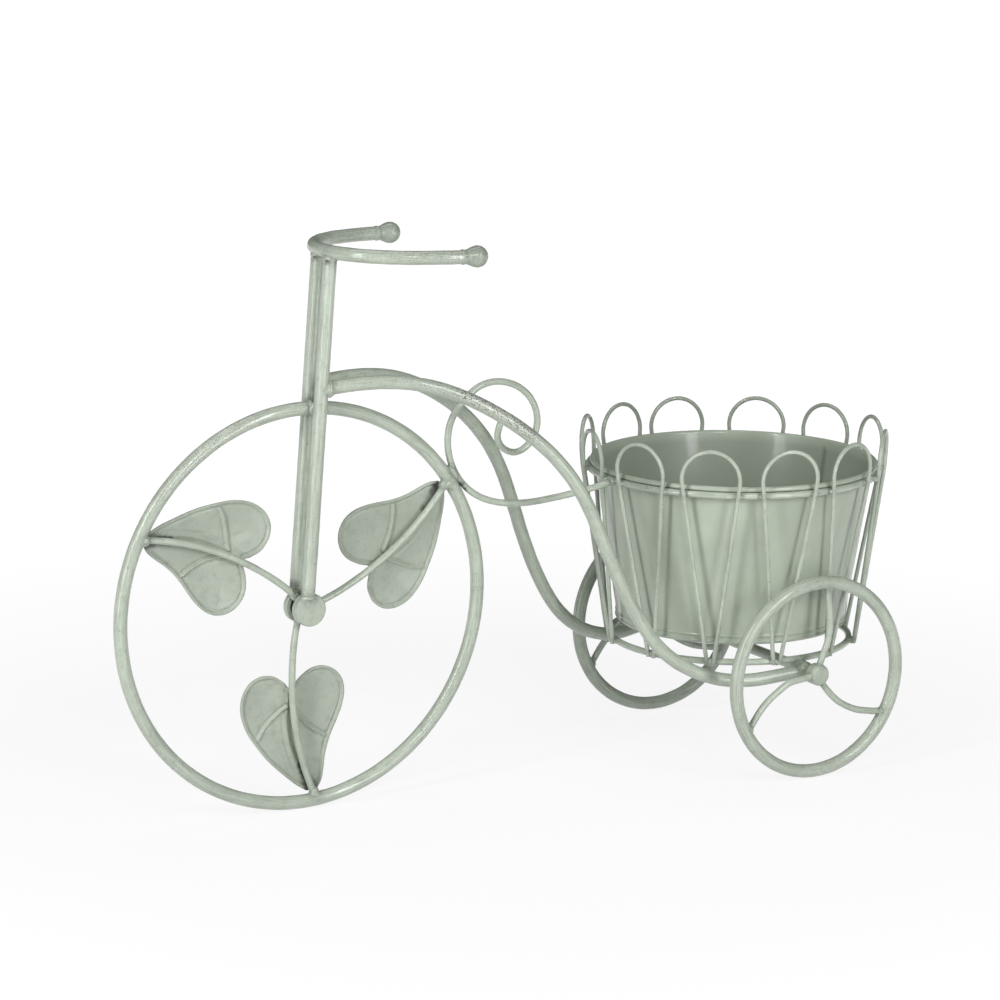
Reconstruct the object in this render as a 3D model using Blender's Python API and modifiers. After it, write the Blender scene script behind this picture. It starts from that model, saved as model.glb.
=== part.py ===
"""A planter in the form of a tricycle: wire frame, three wheels, a looped basket and a round pot.

The tricycle faces -X and stands on Z = 0.  Its near side is -Y.  Every piece is a separate solid,
and pieces that are welded together in the real planter meet with a small clearance.
"""

import math

import bmesh
import bpy
from mathutils import Matrix, Vector

# Clearance between pieces that touch
fit_gap = 0.0003

# Corners nearer than this are one corner
merge_distance = 0.00001

# Stock that the planter is bent from
rod_diameter = 0.008
axle_diameter = 0.0065
spoke_wire = 0.004
scroll_wire = 0.004
ring_wire = 0.004
loop_wire = 0.003

# Wheels and where they stand
front_wheel_diameter = 0.240
rear_wheel_diameter = 0.123
wheelbase = 0.300
wheel_basket_gap = 0.0003

# Front wheel: hub, spokes and leaves
front_hub_diameter = 0.0162
front_hub_disc_width = 0.0087
hub_edge_round = 0.001
front_tip_angle = math.radians(33.9)
front_spoke_root_radius = 0.003
front_spoke_sweep = math.radians(20.5)
front_spoke_hook = math.radians(10)
front_spoke_hook_power = 8
leaf_length = 0.078
leaf_half_width = 0.034
leaf_sheet = 0.001
leaf_tilt = math.radians(9.5)
leaf_cup = 0.0010
leaf_edge_bead = 0.0009
leaf_vein_radius = 0.0008
leaf_vein_sink = 0.0001

# Rear wheels: hubs and spokes
rear_hub_diameter = 0.0128
rear_hub_width = 0.008
rear_hub_face_diameter = 0.0085
rear_tip_angle = math.radians(86.7)

# Axle and frame arches
axle_rise = 0.0022
arch_headroom = 0.0106
arch_end_inset = 0.0078

# Fork, handlebar and knobs
fork_foot_setback = 0.0006
handlebar_rise = 0.0861
handlebar_setback = 0.0124
handlebar_reach = 0.072
handlebar_half_width = 0.0503
handlebar_fall_share = 0.023
knob_diameter = 0.0126
knob_neck = 0.010

# Basket rings and loops
basket_setback = 0.0035
top_ring_radius = 0.0877
bottom_ring_radius = 0.075
loop_count = 12
loop_first_angle = math.radians(17.6)
loop_arc_radius = 0.0173
loop_arc_rise = 0.0078
loop_foot_half_gap = 0.00205
loop_foot_drop = 0.0004
loop_upper_lean = math.radians(3.4)

# Pot
pot_bead_diameter = 0.003
pot_bead_inset = 0.002
pot_depth = 0.0972
pot_foot_clearance = 0.0105
pot_foot_radius = 0.069
pot_wall_thickness = 0.0008
pot_hem_height = 0.0036
pot_hem_bulge = 0.0008
pot_flange = 0.002
pot_base_thickness = 0.0008

# Scroll between the front wheel and the basket
scroll_touch_angle = math.radians(35)
scroll_size = 0.062
scroll_tail_dip = 0.0078
scroll_end_gap = 0.0008
scroll_end_angle = math.radians(182.6)

# Facets
rod_bevel_resolution = 3
wire_bevel_resolution = 2
front_rim_segments = 64
rear_rim_segments = 40
top_ring_segments = 60
bottom_ring_segments = 48
rod_sides = 10
wire_sides = 8
turned_steps = 16
pot_steps = 48

# Outline of a leaf from its blunt tip round the long lobe, the notch and the short lobe:
# share of the length, share of the half width
leaf_outline_shares = (
    (0.019, 0.120), (0.097, 0.290), (0.187, 0.441), (0.281, 0.590), (0.377, 0.720),
    (0.487, 0.837), (0.611, 0.946), (0.721, 0.990), (0.818, 0.975), (0.911, 0.885),
    (0.979, 0.720), (1.0, 0.540), (0.994, 0.400), (0.960, 0.225), (0.892, 0.085),
    (0.834, -0.007), (0.887, -0.230), (0.918, -0.440), (0.914, -0.640), (0.872, -0.825),
    (0.807, -0.945), (0.726, -0.998), (0.643, -0.975), (0.555, -0.881), (0.472, -0.745),
    (0.389, -0.588), (0.312, -0.466), (0.224, -0.363), (0.136, -0.288), (0.058, -0.205),
    (0.004, -0.09),
)
leaf_centre_share = 0.595

# Rings of the leaf's sheet: share of the outline, share of the edge bead, share of the cup
leaf_ring_shares = (
    (1.0, 0.25, 0.0), (0.965, 1.0, 0.0), (0.925, 0.15, 0.0), (0.80, 0.0, 0.45), (0.45, 0.0, 0.9),
)

# Veins of a leaf: shares of the length and of the half width
leaf_vein_shares = (
    ((0.80, 0.05), (0.752, 0.083), (0.605, 0.174), (0.45, 0.219), (0.30, 0.195), (0.20, 0.155)),
    ((0.702, 0.125), (0.669, 0.31), (0.638, 0.47), (0.594, 0.65), (0.526, 0.80)),
    ((0.663, 0.0), (0.575, -0.085), (0.497, -0.195), (0.429, -0.33), (0.365, -0.48)),
)

# Rear spoke: share of the way from hub to rim, turn back from its tip in degrees
rear_spoke_shares = ((0.0, 17.5), (0.2, 17.2), (0.4, 14.8), (0.62, 9.0), (0.85, 3.2), (1.0, 0.0))

# Arch: share of the way from fork to axle, share of its height over the axle
arch_route_shares = (
    (0.0, 0.980), (0.09, 0.998), (0.185, 0.989), (0.262, 0.953), (0.33, 0.901), (0.402, 0.826),
    (0.46, 0.742), (0.505, 0.665), (0.548, 0.548), (0.582, 0.394), (0.612, 0.275), (0.645, 0.176),
    (0.686, 0.10), (0.74, 0.035), (0.80, -0.003), (0.86, -0.021), (0.92, -0.022), (0.97, -0.009), (1.0, 0.0),
)

# Scroll, from its inner end to where it leaves for the basket: shares of its size,
# outwards from the wheel and upwards along it
scroll_route_shares = (
    (0.686, 0.084), (0.60, 0.07), (0.54, 0.028), (0.503, -0.063), (0.516, -0.160), (0.572, -0.262),
    (0.680, -0.306), (0.787, -0.252), (0.863, -0.124), (0.872, 0.05), (0.818, 0.232),
    (0.70, 0.40), (0.56, 0.51), (0.42, 0.565), (0.27, 0.573), (0.14, 0.50), (0.062, 0.395),
    (0.02, 0.24), (0.0, 0.0), (0.018, -0.16), (0.07, -0.315), (0.145, -0.45), (0.278, -0.60),
)

# Handlebar's half curve: share of its reach, share of its half width
handlebar_curve_shares = ((0.0, 0.0), (0.0, 0.465), (0.29, 0.98), (1.0, 1.0))

# Pot's hem from its top down: share of its height
pot_hem_shares = (1.0, 0.78, 0.2)

# Scroll's tail: share of the way to the basket, share of its drop
scroll_tail_shares = ((0.17, 0.26), (0.34, 0.10), (0.52, 0.12), (0.72, 0.34), (0.88, 0.65), (1.0, 1.0))

# Knob: share of its length from the rod's end, share of the ball's radius
knob_neck_shares = ((0.0, 0.635), (0.03, 0.68), (0.07, 0.68), (0.11, 0.64), (0.19, 0.68), (0.27, 0.78))

# Sizes that follow
rod_radius = rod_diameter / 2
axle_radius = axle_diameter / 2
front_wheel_radius = front_wheel_diameter / 2
rear_wheel_radius = rear_wheel_diameter / 2
front_rim_radius = front_wheel_radius - rod_radius
rear_rim_radius = rear_wheel_radius - rod_radius
axle_height = rear_wheel_radius + axle_rise
front_hub_inner_face = spoke_wire / 2 + fit_gap
front_hub_radius = front_hub_diameter / 2
fork_offset = 2 * rod_radius + fit_gap
handlebar_height = front_wheel_diameter + handlebar_rise
arch_height = front_wheel_diameter + arch_headroom
basket_centre = wheelbase - basket_setback
bottom_ring_height = axle_height + axle_radius + fit_gap + ring_wire / 2
loop_offset = ring_wire / 2 + fit_gap + loop_wire / 2
pot_bead_radius = pot_bead_diameter / 2
pot_rim_radius = top_ring_radius - pot_bead_inset
pot_seat_reach = ring_wire / 2 + fit_gap + pot_bead_radius
pot_foot_height = bottom_ring_height + pot_foot_clearance
pot_rim_height = pot_foot_height + pot_depth
top_ring_height = pot_rim_height - math.sqrt(pot_seat_reach ** 2 - pot_bead_inset ** 2)
basket_depth = top_ring_height - bottom_ring_height
loop_rise = basket_depth + loop_arc_rise
loop_slant = math.atan2(loop_foot_half_gap, loop_rise)
loop_spread = math.asin(loop_arc_radius / math.hypot(loop_foot_half_gap, loop_rise)) - loop_slant
loop_ring_half = loop_foot_half_gap + basket_depth * math.tan(loop_spread)
loop_foot_reach = bottom_ring_radius + loop_offset
loop_ring_reach = math.sqrt((top_ring_radius + loop_offset) ** 2 - loop_ring_half ** 2)
loop_lower_slope = (loop_ring_reach - loop_foot_reach) / basket_depth
rear_rim_top = rear_wheel_radius + rear_rim_radius - bottom_ring_height
loop_reach_at_wheel = loop_foot_reach + loop_lower_slope * rear_rim_top
rear_half_track = loop_reach_at_wheel + loop_wire / 2 + wheel_basket_gap + rod_radius
rear_hub_inner_face = rear_half_track - rear_hub_width / 2
arch_half_spread = rear_hub_inner_face - arch_end_inset
front_centre = Vector((0, 0, front_wheel_radius))
sides = (("near", -1), ("far", 1))

paint_rod = (0.463, 0.545, 0.442, 1)
paint_wire = (0.468, 0.552, 0.448, 1)
paint_leaf = (0.370, 0.410, 0.350, 1)
paint_pot = (0.392, 0.451, 0.366, 1)


def new_collection(name):
    collection = bpy.data.collections.new(name)
    bpy.context.scene.collection.children.link(collection)
    return collection


for old in list(bpy.data.objects):
    bpy.data.objects.remove(old)
parts = new_collection("bicycle_planter")
cutters = new_collection("cutters")
planter = bpy.data.objects.new("planter_origin", None)
parts.objects.link(planter)


def painted(name, colour, roughness):
    """One painted metal finish for one piece."""
    material = bpy.data.materials.new(name + "_paint")
    material.use_nodes = True
    shader = material.node_tree.nodes["Principled BSDF"]
    shader.inputs["Base Color"].default_value = colour
    shader.inputs["Roughness"].default_value = roughness
    shader.inputs["Metallic"].default_value = 0
    return material


def keep(part, name, colour, roughness=0.45):
    """Name a finished piece, paint it and hang it on the planter's origin."""
    part.name = name
    part.data.materials.clear()
    part.data.materials.append(painted(name, colour, roughness))
    for collection in list(part.users_collection):
        collection.objects.unlink(part)
    parts.objects.link(part)
    part.parent = planter
    return part


def keep_cutter(cutter, name):
    """Put a tool body among the cutters, out of the render."""
    cutter.name = name
    for collection in list(cutter.users_collection):
        collection.objects.unlink(cutter)
    cutters.objects.link(cutter)
    cutter.hide_render = True
    cutter.display_type = "WIRE"
    cutter.parent = planter
    return cutter


def smooth(mesh):
    mesh.shade_smooth()
    mesh.set_sharp_from_angle(angle=math.radians(40))


def tube(points, radius, resolution):
    """A bent rod or wire along the points, with closed ends."""
    curve = bpy.data.curves.new("wire", "CURVE")
    curve.dimensions = "3D"
    curve.bevel_depth = radius
    curve.bevel_resolution = resolution
    curve.use_fill_caps = True
    spline = curve.splines.new("POLY")
    spline.points.add(len(points) - 1)
    for knot, place in zip(spline.points, points):
        knot.co = (*place, 1)
    wire = bpy.data.objects.new("wire", curve)
    bpy.context.scene.collection.objects.link(wire)
    return wire


def as_mesh(source):
    """The evaluated shape of an object as a plain closed mesh object in the same place."""
    graph = bpy.context.evaluated_depsgraph_get()
    mesh = bpy.data.meshes.new_from_object(source.evaluated_get(graph))
    shape = bmesh.new()
    shape.from_mesh(mesh)
    bmesh.ops.remove_doubles(shape, verts=shape.verts, dist=merge_distance)
    shape.to_mesh(mesh)
    shape.free()
    smooth(mesh)
    solid = bpy.data.objects.new("solid", mesh)
    solid.matrix_world = source.matrix_world
    bpy.context.scene.collection.objects.link(solid)
    bpy.data.objects.remove(source)
    return solid


def route_through(points, steps):
    """Points of a smooth curve through the given ones, with the given steps in each span."""
    padded = [2 * points[0] - points[1], *points, 2 * points[-1] - points[-2]]
    route = []
    for index in range(len(points) - 1):
        before, start, end, after = padded[index:index + 4]
        for step in range(steps):
            t = step / steps
            ahead = (end - before) / 2
            onward = (after - start) / 2
            route.append(
                start * (2 * t ** 3 - 3 * t ** 2 + 1) + ahead * (t ** 3 - 2 * t ** 2 + t)
                + end * (3 * t ** 2 - 2 * t ** 3) + onward * (t ** 3 - t ** 2)
            )
    route.append(points[-1])
    return route


def rod_between(start, end, radius, vertices):
    """A straight round rod from one point to another."""
    along = end - start
    shape = bmesh.new()
    bmesh.ops.create_cone(
        shape, cap_ends=True, segments=vertices, radius1=radius, radius2=radius, depth=along.length)
    mesh = bpy.data.meshes.new("rod")
    shape.to_mesh(mesh)
    shape.free()
    smooth(mesh)
    rod = bpy.data.objects.new("rod", mesh)
    rod.location = (start + end) / 2
    rod.rotation_euler = along.to_track_quat("Z", "Y").to_euler()
    bpy.context.scene.collection.objects.link(rod)
    return rod


def hoop(radius, wire_radius, segments, wire_segments):
    """A ring of round rod lying flat on its own centre."""
    bpy.ops.mesh.primitive_torus_add(
        major_radius=radius, minor_radius=wire_radius,
        major_segments=segments, minor_segments=wire_segments)
    ring = bpy.context.object
    ring.data.shade_smooth()
    return ring


def turned(profile, steps):
    """A body turned about Z from a profile of (radius, height) that runs down its outer side."""
    shape = bmesh.new()
    corners = [shape.verts.new((radius, 0, height)) for radius, height in profile]
    for first, second in zip(corners, corners[1:]):
        shape.edges.new((first, second))
    if profile[0][0] > 0:
        shape.edges.new((corners[-1], corners[0]))
    mesh = bpy.data.meshes.new("profile")
    shape.to_mesh(mesh)
    shape.free()
    body = bpy.data.objects.new("turned", mesh)
    bpy.context.scene.collection.objects.link(body)
    screw = body.modifiers.new("turn", "SCREW")
    screw.steps = steps
    screw.render_steps = steps
    screw.use_merge_vertices = True
    screw.merge_threshold = merge_distance
    screw.use_smooth_shade = True
    return body


def arc(centre_radius, centre_height, radius, start, end, steps):
    """Profile points on a round stretch, from one angle to another."""
    angles = [start + (end - start) * step / steps for step in range(steps + 1)]
    return [
        (centre_radius + radius * math.cos(angle), centre_height + radius * math.sin(angle))
        for angle in angles
    ]


def stand_upright(body, side):
    """Turn a body made about Z so that its top faces outwards on one side of the tricycle."""
    body.rotation_euler = (-side * math.pi / 2, 0, 0)


def seated_end(before, end, radius, limit):
    """Where a wheel's flat-ended wire stops on its last straight, clear of a circle about the hub."""
    way = (end - before).normalized()
    across = Vector((-way.z, 0, way.x)) * radius
    travels = []
    for edge in (before + across, before - across):
        along = edge.dot(way)
        reach = math.sqrt(along ** 2 - edge.length_squared + limit ** 2)
        travels.append(reach - along if edge.length < limit else -reach - along)
    return before + way * min(travels)


def rim_opening(rim_radius, segments):
    """Radius of the round space inside a wheel's rim, less the clearance."""
    return (rim_radius - rod_radius) * math.cos(math.pi / segments) - fit_gap


def on_wheel(radius, angle):
    return Vector((radius * math.cos(angle), 0, radius * math.sin(angle)))


def spin_about_wheel(piece, centre, angle):
    """Place a piece that was made with its tip along +X on a wheel, at its angle."""
    piece.location = centre
    piece.rotation_euler = (0, -angle, 0)


def copy_of(mesh):
    piece = bpy.data.objects.new("copy", mesh.copy())
    bpy.context.scene.collection.objects.link(piece)
    return piece


# Front wheel

def front_rim():
    rim = hoop(front_rim_radius, rod_radius, front_rim_segments, rod_sides)
    rim.location = front_centre
    rim.rotation_euler = (math.pi / 2, 0, 0)
    keep(rim, "front_wheel_rim", paint_rod)


def front_hub_discs():
    """Two thick discs with rounded outer edges that hold the spokes' inner ends between them."""
    for name, side in sides:
        top = front_hub_disc_width
        profile = [(0, top)]
        profile += arc(front_hub_radius - hub_edge_round, top - hub_edge_round,
                       hub_edge_round, math.pi / 2, 0, 2)
        profile += [(front_hub_radius, 0), (0, 0)]
        disc = turned(profile, 2 * turned_steps)
        disc.location = front_centre + Vector((0, side * front_hub_inner_face, 0))
        stand_upright(disc, side)
        keep(disc, "front_hub_disc_" + name, paint_rod)


def front_spoke_turn(share):
    """How far a front spoke has turned back from its tip, at a share of its way out."""
    hook = front_spoke_hook * (1 - share) ** front_spoke_hook_power
    return -(front_spoke_sweep * (1 - share) + hook)


def front_spoke_points():
    limit = rim_opening(front_rim_radius, front_rim_segments)
    steps = 13
    points = []
    for step in range(steps + 1):
        share = step / steps
        radius = front_spoke_root_radius + share * (limit - front_spoke_root_radius)
        points.append(on_wheel(radius, front_spoke_turn(share)))
    points[-1] = seated_end(points[-2], points[-1], spoke_wire / 2, limit)
    return points


def leaf_place(length_share, width_share):
    return Vector((length_share * leaf_length, width_share * leaf_half_width))


def leaf_outline():
    return route_through([leaf_place(*point) for point in leaf_outline_shares], 2)


def leaf_height(place, outline):
    """Height of the leaf's sheet at a place, from how near it is to the outline."""
    centre = leaf_place(leaf_centre_share, 0)
    away = place - centre
    angle = math.atan2(away.y, away.x)
    closest = min(outline, key=lambda point: abs(math.remainder(
        math.atan2(point.y - centre.y, point.x - centre.x) - angle, 2 * math.pi)))
    share = min(1, away.length / (closest - centre).length)
    levels = [(ring, bead * leaf_edge_bead - cup * leaf_cup) for ring, bead, cup in leaf_ring_shares]
    levels.append((0, -leaf_cup))
    for (outer, high), (inner, low) in zip(levels, levels[1:]):
        if share >= inner:
            return low + (high - low) * (share - inner) / (outer - inner)
    return -leaf_cup


def leaf_to_wheel(place, height):
    """From the leaf's own plane to the wheel's: the leaf lies just behind its spoke."""
    tip = rim_opening(front_rim_radius, front_rim_segments)
    base = spoke_wire / 2 + fit_gap + leaf_edge_bead
    along = Vector((-math.cos(leaf_tilt), 0, -math.sin(leaf_tilt)))
    across = Vector((math.sin(leaf_tilt), 0, -math.cos(leaf_tilt)))
    return Vector((tip, base - height, 0)) + along * place.x + across * place.y


def leaf_mesh():
    """A pressed heart leaf: sheet with a raised edge bead, a cupped middle and raised veins."""
    outline = leaf_outline()
    centre = leaf_place(leaf_centre_share, 0)
    shape = bmesh.new()
    rings = []
    for share, bead, cup in leaf_ring_shares:
        height = bead * leaf_edge_bead - cup * leaf_cup
        places = [centre + (point - centre) * share for point in outline]
        rings.append([shape.verts.new(leaf_to_wheel(place, height)) for place in places])
    middle = shape.verts.new(leaf_to_wheel(centre, -leaf_cup))
    for outer, inner in zip(rings, rings[1:]):
        for index in range(len(outline)):
            after = (index + 1) % len(outline)
            shape.faces.new((outer[index], inner[index], inner[after], outer[after]))
    for index in range(len(outline)):
        shape.faces.new((rings[-1][index], middle, rings[-1][(index + 1) % len(outline)]))
    mesh = bpy.data.meshes.new("leaf")
    shape.to_mesh(mesh)
    shape.free()
    leaf = bpy.data.objects.new("leaf", mesh)
    bpy.context.scene.collection.objects.link(leaf)
    wall = leaf.modifiers.new("sheet", "SOLIDIFY")
    wall.thickness = leaf_sheet
    wall.offset = -1
    veins = []
    for route in leaf_vein_shares:
        places = route_through([leaf_place(*point) for point in route], 2)
        points = [
            leaf_to_wheel(place, leaf_height(place, outline) - leaf_vein_sink) for place in places]
        veins.append(keep_cutter(as_mesh(tube(points, leaf_vein_radius, 1)), "leaf_vein"))
    for vein in veins:
        join = leaf.modifiers.new("vein", "BOOLEAN")
        join.operation = "UNION"
        join.object = vein
    solid = as_mesh(leaf)
    finished = solid.data
    bpy.data.objects.remove(solid)
    for vein in veins:
        bpy.data.objects.remove(vein)
    return finished


def front_spokes_and_leaves():
    spoke = as_mesh(tube(front_spoke_points(), spoke_wire / 2, wire_bevel_resolution))
    leaf = leaf_mesh()
    for index in range(3):
        angle = front_tip_angle + index * 2 * math.pi / 3
        for mesh, name, colour in ((spoke.data, "front_spoke", paint_wire), (leaf, "leaf", paint_leaf)):
            piece = copy_of(mesh)
            spin_about_wheel(piece, front_centre, angle)
            keep(piece, f"{name}_{index + 1}", colour)
    bpy.data.objects.remove(spoke)


# Rear wheels and axle

def rear_rims():
    for name, side in sides:
        rim = hoop(rear_rim_radius, rod_radius, rear_rim_segments, rod_sides)
        rim.location = (wheelbase, side * rear_half_track, rear_wheel_radius)
        rim.rotation_euler = (math.pi / 2, 0, 0)
        keep(rim, "rear_wheel_rim_" + name, paint_rod)


def rear_hubs():
    """Button hubs on the axle's ends, each with a flat face inside a broad round edge."""
    edge = (rear_hub_diameter - rear_hub_face_diameter) / 2
    outer = rear_hub_diameter / 2
    profile = [(0, rear_hub_width / 2)]
    profile += arc(outer - edge, rear_hub_width / 2 - edge, edge, math.pi / 2, 0, 4)
    profile += [(outer, -rear_hub_width / 2), (0, -rear_hub_width / 2)]
    for name, side in sides:
        hub = turned(profile, 2 * turned_steps)
        hub.location = (wheelbase, side * rear_half_track, axle_height)
        stand_upright(hub, side)
        keep(hub, "rear_hub_" + name, paint_rod)


def rear_spoke_points(tip_angle):
    """One spoke's route, from the hub on the axle to the rim round the wheel's own centre."""
    hub = Vector((0, 0, axle_rise))
    inner = rear_hub_diameter / 2 + fit_gap
    outer = rim_opening(rear_rim_radius, rear_rim_segments)

    def point(share, turn):
        place = on_wheel(inner + share * (outer - inner), tip_angle - math.radians(turn))
        return place + (1 - share) * hub

    points = route_through([point(*shares) for shares in rear_spoke_shares], 2)
    points[0] = hub + seated_end(points[1] - hub, points[0] - hub, 0, inner)
    points[-1] = seated_end(points[-2], points[-1], spoke_wire / 2, outer)
    return points


def rear_spokes():
    for index in range(3):
        points = rear_spoke_points(rear_tip_angle - index * 2 * math.pi / 3)
        spoke = as_mesh(tube(points, spoke_wire / 2, wire_bevel_resolution))
        for name, side in sides:
            piece = copy_of(spoke.data)
            piece.location = (wheelbase, side * rear_half_track, rear_wheel_radius)
            keep(piece, f"rear_spoke_{name}_{index + 1}", paint_wire)
        bpy.data.objects.remove(spoke)


def rear_axle():
    reach = rear_hub_inner_face - fit_gap
    ends = [Vector((wheelbase, side * reach, axle_height)) for name, side in sides]
    keep(rod_between(*ends, axle_radius, 2 * rod_sides), "rear_axle", paint_rod)


# Fork, handlebar and knobs

def handlebar_point(share, side):
    """A point on one half of the bar: front centre at 0, middle of the knob at 1."""
    rest = 1 - share
    weights = (rest ** 3, 3 * rest ** 2 * share, 3 * rest * share ** 2, share ** 3)
    back = handlebar_reach * sum(
        weight * control[0] for weight, control in zip(weights, handlebar_curve_shares))
    across = handlebar_half_width * sum(
        weight * control[1] for weight, control in zip(weights, handlebar_curve_shares))
    height = handlebar_height - handlebar_fall_share * back
    return Vector((handlebar_setback + back, side * across, height))


def handlebar_half(side):
    """Points of one half of the bar, ending where its knob starts, and the knob's direction."""
    steps = 16
    ball = handlebar_point(1, side)
    points = [handlebar_point(step / steps, side) for step in range(steps)]
    points = [point for point in points if (ball - point).length > knob_neck + fit_gap + rod_radius]
    inward = (points[-1] - ball).normalized()
    points.append(ball + inward * (knob_neck + fit_gap))
    return points, -inward


def handlebar_and_knobs():
    near, near_way = handlebar_half(-1)
    far, far_way = handlebar_half(1)
    bar = tube([*reversed(near), *far[1:]], rod_radius, rod_bevel_resolution)
    keep(bar, "handlebar", paint_rod)
    ball = knob_diameter / 2
    first = math.asin(knob_neck_shares[-1][1] + (1 - knob_neck_shares[-1][1]) / 3)
    profile = [(0, knob_neck + ball)]
    profile += arc(0, knob_neck, ball, math.pi / 2, first - math.pi / 2, 9)[1:]
    profile += [
        (radius_share * ball, length_share * (knob_neck + ball))
        for length_share, radius_share in reversed(knob_neck_shares)
    ]
    profile.append((0, 0))
    for (name, side), way in zip(sides, (near_way, far_way)):
        knob = turned(profile, turned_steps)
        knob.location = handlebar_point(1, side) - way * knob_neck
        knob.rotation_euler = way.to_track_quat("Z", "Y").to_euler()
        keep(knob, "knob_" + name, paint_rod)


def bar_over_fork():
    """Where the bar crosses above a fork rod."""
    share = 0
    step = 1 / 512
    while handlebar_point(share, 1).y < fork_offset:
        share += step
    return handlebar_point(share, 1)


def fork_ends(side):
    """Lower end on the hub disc, upper end under the bar."""
    crossing = bar_over_fork()
    foot = Vector((-fork_foot_setback, side * fork_offset, front_wheel_radius + front_hub_radius + fit_gap))
    head = Vector((crossing.x, side * fork_offset, crossing.z - rod_radius - fit_gap))
    return foot, head


def fork_at(height, side):
    foot, head = fork_ends(side)
    return foot + (head - foot) * (height - foot.z) / (head.z - foot.z)


def fork_rods():
    for name, side in sides:
        foot, head = fork_ends(side)
        keep(rod_between(foot, head, rod_radius, 2 * rod_sides), "fork_rod_" + name, paint_rod)


# Frame arches

def arch_points(side):
    height = arch_height - axle_height
    start = fork_at(axle_height + arch_route_shares[0][1] * height, side)
    saddle = axle_radius / 2
    points = []
    for way, rise in arch_route_shares:
        points.append(Vector((
            start.x + way * (wheelbase - saddle - start.x),
            start.y + way * (side * arch_half_spread - start.y),
            axle_height + rise * height,
        )))
    return route_through(points, 2)


def frame_arches():
    """Two mirrored arches, coped round the fork rods in front and the axle behind."""
    for name, side in sides:
        foot, head = fork_ends(side)
        ends = [Vector((wheelbase, way * rear_half_track, axle_height)) for other, way in sides]
        tools = (
            (rod_between(foot, head, rod_radius + fit_gap, 4 * rod_sides), "fork_cope_" + name),
            (rod_between(*ends, axle_radius + fit_gap, 4 * rod_sides), "axle_cope_" + name),
        )
        arch = as_mesh(tube(arch_points(side), rod_radius, rod_bevel_resolution))
        for tool, tool_name in tools:
            cut = arch.modifiers.new("cope", "BOOLEAN")
            cut.operation = "DIFFERENCE"
            cut.object = keep_cutter(tool, tool_name)
        keep(arch, "frame_arch_" + name, paint_rod)


# Scroll

def scroll_points():
    """One flat scroll that lies against the front wheel and runs back to the basket's top ring."""
    out = on_wheel(1, scroll_touch_angle)
    up = on_wheel(1, scroll_touch_angle + math.pi / 2)
    touch = front_centre + out * (front_wheel_radius + fit_gap + scroll_wire / 2)
    points = [
        touch + out * outward * scroll_size + up * upward * scroll_size
        for outward, upward in scroll_route_shares
    ]
    reach = top_ring_radius + ring_wire / 2 + scroll_end_gap
    end = Vector((reach * math.cos(scroll_end_angle), reach * math.sin(scroll_end_angle), top_ring_height))
    end.x += basket_centre
    start = points[-1]
    lowest = min(start.z, end.z) - scroll_tail_dip
    for way, rise in scroll_tail_shares:
        place = start.lerp(end, way)
        place.z = lowest + rise * (end.z - lowest)
        points.append(place)
    for point in points:
        point.y = end.y * max(0, (point.x - touch.x) / (end.x - touch.x))
    return route_through(points, 2)


def scroll():
    keep(tube(scroll_points(), scroll_wire / 2, wire_bevel_resolution), "scroll", paint_wire)


# Basket

def basket_rings():
    rings = (
        ("basket_top_ring", top_ring_radius, top_ring_height, top_ring_segments),
        ("basket_bottom_ring", bottom_ring_radius, bottom_ring_height, bottom_ring_segments),
    )
    for name, radius, height, segments in rings:
        ring = hoop(radius, ring_wire / 2, segments, wire_sides)
        ring.location = (basket_centre, 0, height)
        keep(ring, name, paint_wire)


def loop_points():
    """One loop, made facing +X: two legs that spread from a narrow foot and a round head."""
    def reach(height):
        """Distance of the loop from the basket's axis, at a height over the bottom ring."""
        if height < basket_depth:
            return loop_foot_reach + loop_lower_slope * height
        return loop_ring_reach + math.tan(loop_upper_lean) * (height - basket_depth)

    leg = [
        (loop_foot_half_gap + height * math.tan(loop_spread), height)
        for height in (-loop_foot_drop, basket_depth)
    ]
    steps = 12
    turns = [-loop_spread + step * (math.pi + 2 * loop_spread) / steps for step in range(steps + 1)]
    head = [
        (loop_arc_radius * math.cos(turn), loop_rise + loop_arc_radius * math.sin(turn))
        for turn in turns
    ]
    outline = [*leg, *head, *((-across, height) for across, height in reversed(leg))]
    return [Vector((reach(height), across, bottom_ring_height + height)) for across, height in outline]


def basket_loops():
    loop = as_mesh(tube(loop_points(), loop_wire / 2, wire_bevel_resolution))
    for index in range(loop_count):
        piece = copy_of(loop.data)
        piece.location = (basket_centre, 0, 0)
        piece.rotation_euler = (0, 0, loop_first_angle + index * 2 * math.pi / loop_count)
        keep(piece, f"basket_loop_{index + 1:02d}", paint_wire)
    bpy.data.objects.remove(loop)


# Pot

def pot_inner_radius(height):
    """Inside radius of the tapered wall at a height over the pot's foot."""
    foot = pot_foot_radius - pot_wall_thickness
    head = pot_rim_radius - pot_bead_radius
    return foot + (head - foot) * height / pot_depth


def pot_wall():
    """A thin tapered wall with a rolled rim, and a hem and inner flange that hold the base."""
    meet = math.acos(1 - pot_wall_thickness / pot_bead_radius)
    hem_top, hem_high, hem_low = (share * pot_hem_height for share in pot_hem_shares)
    profile = arc(pot_rim_radius, pot_depth, pot_bead_radius, math.pi, -math.pi + meet, 9)

    def outside(height):
        return pot_inner_radius(height) + pot_wall_thickness

    profile += [
        (outside(hem_top), hem_top),
        (outside(hem_high) + pot_hem_bulge, hem_high),
        (outside(hem_low) + pot_hem_bulge, hem_low),
        (outside(0), 0),
        (pot_inner_radius(0) - pot_flange, 0),
        (pot_inner_radius(0) - pot_flange, pot_wall_thickness),
        (pot_inner_radius(pot_wall_thickness), pot_wall_thickness),
    ]
    wall = turned(profile, pot_steps)
    wall.location = (basket_centre, 0, pot_foot_height)
    keep(wall, "pot_wall", paint_pot, 0.5)


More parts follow.
